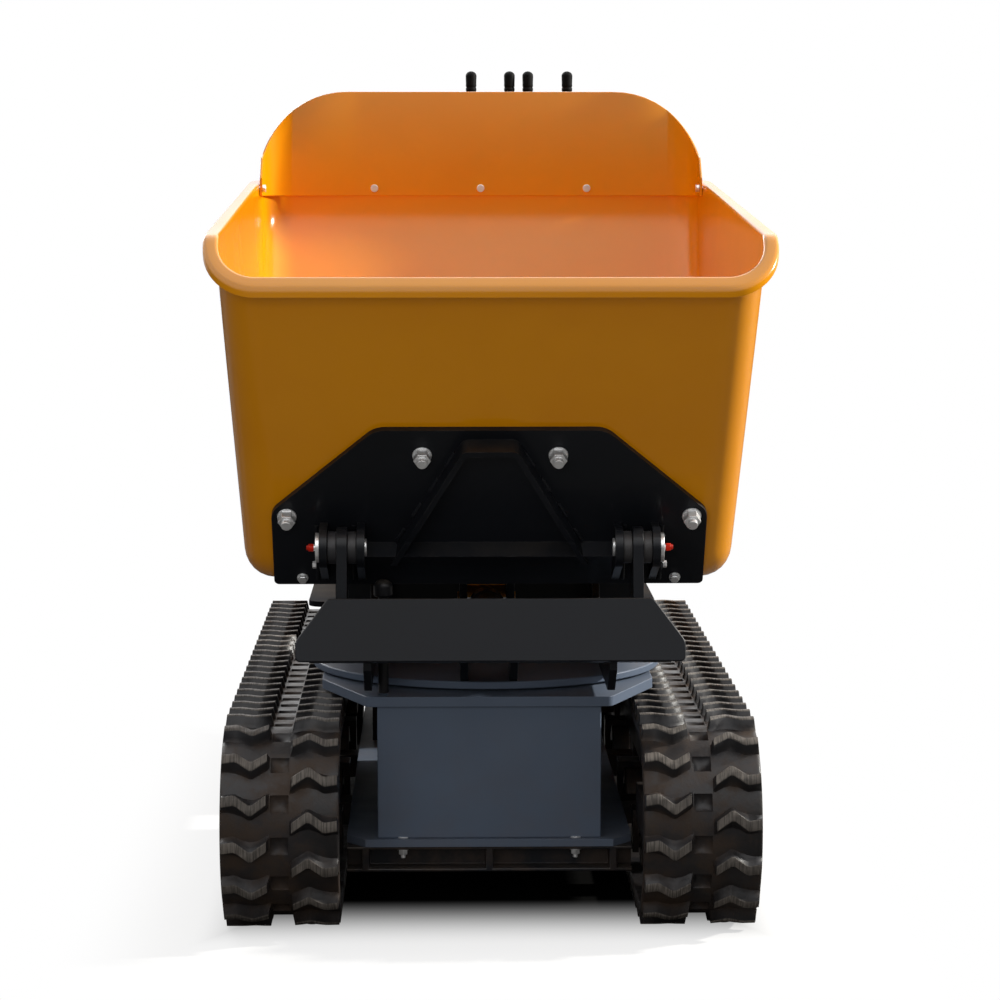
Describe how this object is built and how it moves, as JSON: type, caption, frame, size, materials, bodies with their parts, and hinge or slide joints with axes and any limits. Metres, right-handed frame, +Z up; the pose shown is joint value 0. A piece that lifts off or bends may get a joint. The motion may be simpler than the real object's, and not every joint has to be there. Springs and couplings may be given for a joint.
{
  "type": "tracked power carrier",
  "caption": "Rubber-tracked power carrier with a yellow front-tip skip on a swivelling frame, engine cowl, control levers and rear step.",
  "frame": {"origin": "on the ground, in the middle of the machine's length and width", "axes": "+Z up; the machine looks and drives towards -Y; +X is on the right of the picture"},
  "size_m": [0.855, 2.061, 1.369],
  "materials": {
    "skip_paint": "gloss",
    "frame_paint": "satin",
    "pedestal_paint": "satin",
    "track_rubber": "matte",
    "wheel_iron": "satin",
    "gear_steel": "satin",
    "bearing_bronze": "satin",
    "rod_chrome": "polished",
    "zinc": "satin",
    "red_plastic": "gloss",
    "grip_rubber": "matte",
    "black_plastic": "satin",
    "engine_alloy": "satin",
    "exhaust": "matte"
  },
  "bodies": {
    "root": {"chassis_base_plate": "pedestal_paint", "cross_beams": "frame_paint", "pedestal_box": "pedestal_paint", "slew_base_plate": "pedestal_paint", "track_frame_left": "frame_paint", "track_frame_right": "frame_paint", "rubber_track_left": "track_rubber", "rubber_track_right": "track_rubber", "travel_motor_left": "wheel_iron", "travel_motor_right": "wheel_iron", "slew_wear_ring": "bearing_bronze", "slew_motor": "wheel_iron", "rear_deck": "frame_paint", "engine_block": "engine_alloy", "muffler": "exhaust", "fuel_tank": "black_plastic", "hydraulic_pump": "engine_alloy", "hydraulic_tank": "frame_paint", "cowl_shell": "skip_paint", "control_console": "frame_paint", "grab_rail": "frame_paint"},
    "swing": {"turntable_disc": "pedestal_paint", "slew_gear": "gear_steel", "swing_frame": "frame_paint", "front_guard": "frame_paint", "hinge_bushes": "gear_steel"},
    "skip": {"skip_shell": "skip_paint", "rear_hood": "skip_paint", "hinge_plate": "frame_paint", "hinge_pins": "zinc", "grease_caps": "red_plastic", "skip_bolts": "zinc", "hood_bolts": "zinc"},
    "tip_barrel": {"tip_cylinder_barrel": "frame_paint"},
    "tip_rod": {"tip_cylinder_rod": "rod_chrome"},
    "pinion": {"slew_pinion": "gear_steel"},
    "lock_pin": {"slew_lock_pin": "frame_paint"},
    "slew_control": {"slew_lever": "zinc", "slew_lever_grip": "grip_rubber"},
    "travel_control_left": {"travel_lever_left": "zinc", "travel_grip_left": "grip_rubber"},
    "travel_control_right": {"travel_lever_right": "zinc", "travel_grip_right": "grip_rubber"},
    "tip_control": {"tip_lever": "zinc", "tip_lever_grip": "grip_rubber"},
    "throttle": {"throttle_lever": "red_plastic"},
    "hood_lid": {"engine_hood": "skip_paint"},
    "platform": {"operator_platform": "frame_paint"},
    "sprocket_left": {"drive_sprocket_left": "gear_steel"},
    "yoke_left": {"idler_yoke_left": "frame_paint"},
    "idler_left": {"idler_wheel_left": "wheel_iron"},
    "roller_left_1": {"track_roller_left_1": "wheel_iron"},
    "roller_left_2": {"track_roller_left_2": "wheel_iron"},
    "roller_left_3": {"track_roller_left_3": "wheel_iron"},
    "sprocket_right": {"drive_sprocket_right": "gear_steel"},
    "yoke_right": {"idler_yoke_right": "frame_paint"},
    "idler_right": {"idler_wheel_right": "wheel_iron"},
    "roller_right_1": {"track_roller_right_1": "wheel_iron"},
    "roller_right_2": {"track_roller_right_2": "wheel_iron"},
    "roller_right_3": {"track_roller_right_3": "wheel_iron"}
  },
  "joints": [
    {"name": "slew", "type": "hinge", "parent": "root", "child": "swing", "pos_m": [0, -0.42951, 0.349], "axis": [0, 0, 1], "range_deg": [-90, 90]},
    {"name": "tip", "type": "hinge", "parent": "swing", "child": "skip", "pos_m": [0, -0.80651, 0.586], "axis": [1, 0, 0], "range_deg": [0, 73]},
    {"name": "tip_barrel_pivot", "type": "hinge", "parent": "swing", "child": "tip_barrel", "pos_m": [0, -0.76851, 0.43], "axis": [1, 0, 0], "range_deg": [0, 62.5]},
    {"name": "tip_rod_slide", "type": "slide", "parent": "tip_barrel", "child": "tip_rod", "axis": [0, 0.995, 0.0995], "range_m": [0, 0.1775]},
    {"name": "slew_pinion_turn", "type": "hinge", "parent": "root", "child": "pinion", "pos_m": [0, -0.24891, 0.171], "axis": [0, 0, 1], "range_deg": [-451, 451]},
    {"name": "lock_pin_slide", "type": "slide", "parent": "swing", "child": "lock_pin", "axis": [0, 0, -1], "range_m": [0, 0.012]},
    {"name": "drive_left", "type": "hinge", "parent": "root", "child": "sprocket_left", "pos_m": [-0.32, 0.48629, 0.163], "axis": [1, 0, 0], "continuous": true},
    {"name": "tension_left", "type": "slide", "parent": "root", "child": "yoke_left", "axis": [0, 1, 0], "range_m": [0, 0.015]},
    {"name": "idler_turn_left", "type": "hinge", "parent": "yoke_left", "child": "idler_left", "pos_m": [-0.32, -0.82331, 0.163], "axis": [1, 0, 0], "continuous": true},
    {"name": "roller_turn_left_1", "type": "hinge", "parent": "root", "child": "roller_left_1", "pos_m": [-0.32, -0.58851, 0.0773], "axis": [1, 0, 0], "continuous": true},
    {"name": "roller_turn_left_2", "type": "hinge", "parent": "root", "child": "roller_left_2", "pos_m": [-0.32, -0.16851, 0.0773], "axis": [1, 0, 0], "continuous": true},
    {"name": "roller_turn_left_3", "type": "hinge", "parent": "root", "child": "roller_left_3", "pos_m": [-0.32, 0.25149, 0.0773], "axis": [1, 0, 0], "continuous": true},
    {"name": "drive_right", "type": "hinge", "parent": "root", "child": "sprocket_right", "pos_m": [0.32, 0.48629, 0.163], "axis": [1, 0, 0], "continuous": true},
    {"name": "tension_right", "type": "slide", "parent": "root", "child": "yoke_right", "axis": [0, 1, 0], "range_m": [0, 0.015]},
    {"name": "idler_turn_right", "type": "hinge", "parent": "yoke_right", "child": "idler_right", "pos_m": [0.32, -0.82331, 0.163], "axis": [1, 0, 0], "continuous": true},
    {"name": "roller_turn_right_1", "type": "hinge", "parent": "root", "child": "roller_right_1", "pos_m": [0.32, -0.58851, 0.0773], "axis": [1, 0, 0], "continuous": true},
    {"name": "roller_turn_right_2", "type": "hinge", "parent": "root", "child": "roller_right_2", "pos_m": [0.32, -0.16851, 0.0773], "axis": [1, 0, 0], "continuous": true},
    {"name": "roller_turn_right_3", "type": "hinge", "parent": "root", "child": "roller_right_3", "pos_m": [0.32, 0.25149, 0.0773], "axis": [1, 0, 0], "continuous": true},
    {"name": "slew_lever_tilt", "type": "hinge", "parent": "root", "child": "slew_control", "pos_m": [-0.012, 0.71749, 1], "axis": [1, 0, 0], "range_deg": [-16, 16], "stiffness_Nm_per_rad": 6},
    {"name": "travel_lever_left_tilt", "type": "hinge", "parent": "root", "child": "travel_control_left", "pos_m": [0.065, 0.71749, 1], "axis": [1, 0, 0], "range_deg": [-16, 16], "stiffness_Nm_per_rad": 6},
    {"name": "travel_lever_right_tilt", "type": "hinge", "parent": "root", "child": "travel_control_right", "pos_m": [0.102, 0.71749, 1], "axis": [1, 0, 0], "range_deg": [-16, 16], "stiffness_Nm_per_rad": 6},
    {"name": "tip_lever_tilt", "type": "hinge", "parent": "root", "child": "tip_control", "pos_m": [0.181, 0.71749, 1], "axis": [1, 0, 0], "range_deg": [-16, 16], "stiffness_Nm_per_rad": 6},
    {"name": "throttle_turn", "type": "hinge", "parent": "root", "child": "throttle", "pos_m": [0.2523, 0.71749, 1.022], "axis": [1, 0, 0], "range_deg": [0, 60]},
    {"name": "engine_hood_lift", "type": "hinge", "parent": "root", "child": "hood_lid", "pos_m": [0, 0.39249, 0.966], "axis": [1, 0, 0], "range_deg": [0, 75]},
    {"name": "platform_fold", "type": "hinge", "parent": "root", "child": "platform", "pos_m": [0, 0.80549, 0.246], "axis": [1, 0, 0], "range_deg": [0, 85]}
  ],
  "couplings": [
    {"joint": "tip_barrel_pivot", "follows": "tip", "ratio": 0.84936},
    {"joint": "tip_rod_slide", "follows": "tip", "m_per_rad": 0.13862},
    {"joint": "slew_pinion_turn", "follows": "slew", "ratio": -5},
    {"joint": "idler_turn_left", "follows": "drive_left", "ratio": 1},
    {"joint": "roller_turn_left_1", "follows": "drive_left", "ratio": 3.2619},
    {"joint": "roller_turn_left_2", "follows": "drive_left", "ratio": 3.2619},
    {"joint": "roller_turn_left_3", "follows": "drive_left", "ratio": 3.2619},
    {"joint": "idler_turn_right", "follows": "drive_right", "ratio": 1},
    {"joint": "roller_turn_right_1", "follows": "drive_right", "ratio": 3.2619},
    {"joint": "roller_turn_right_2", "follows": "drive_right", "ratio": 3.2619},
    {"joint": "roller_turn_right_3", "follows": "drive_right", "ratio": 3.2619}
  ]
}
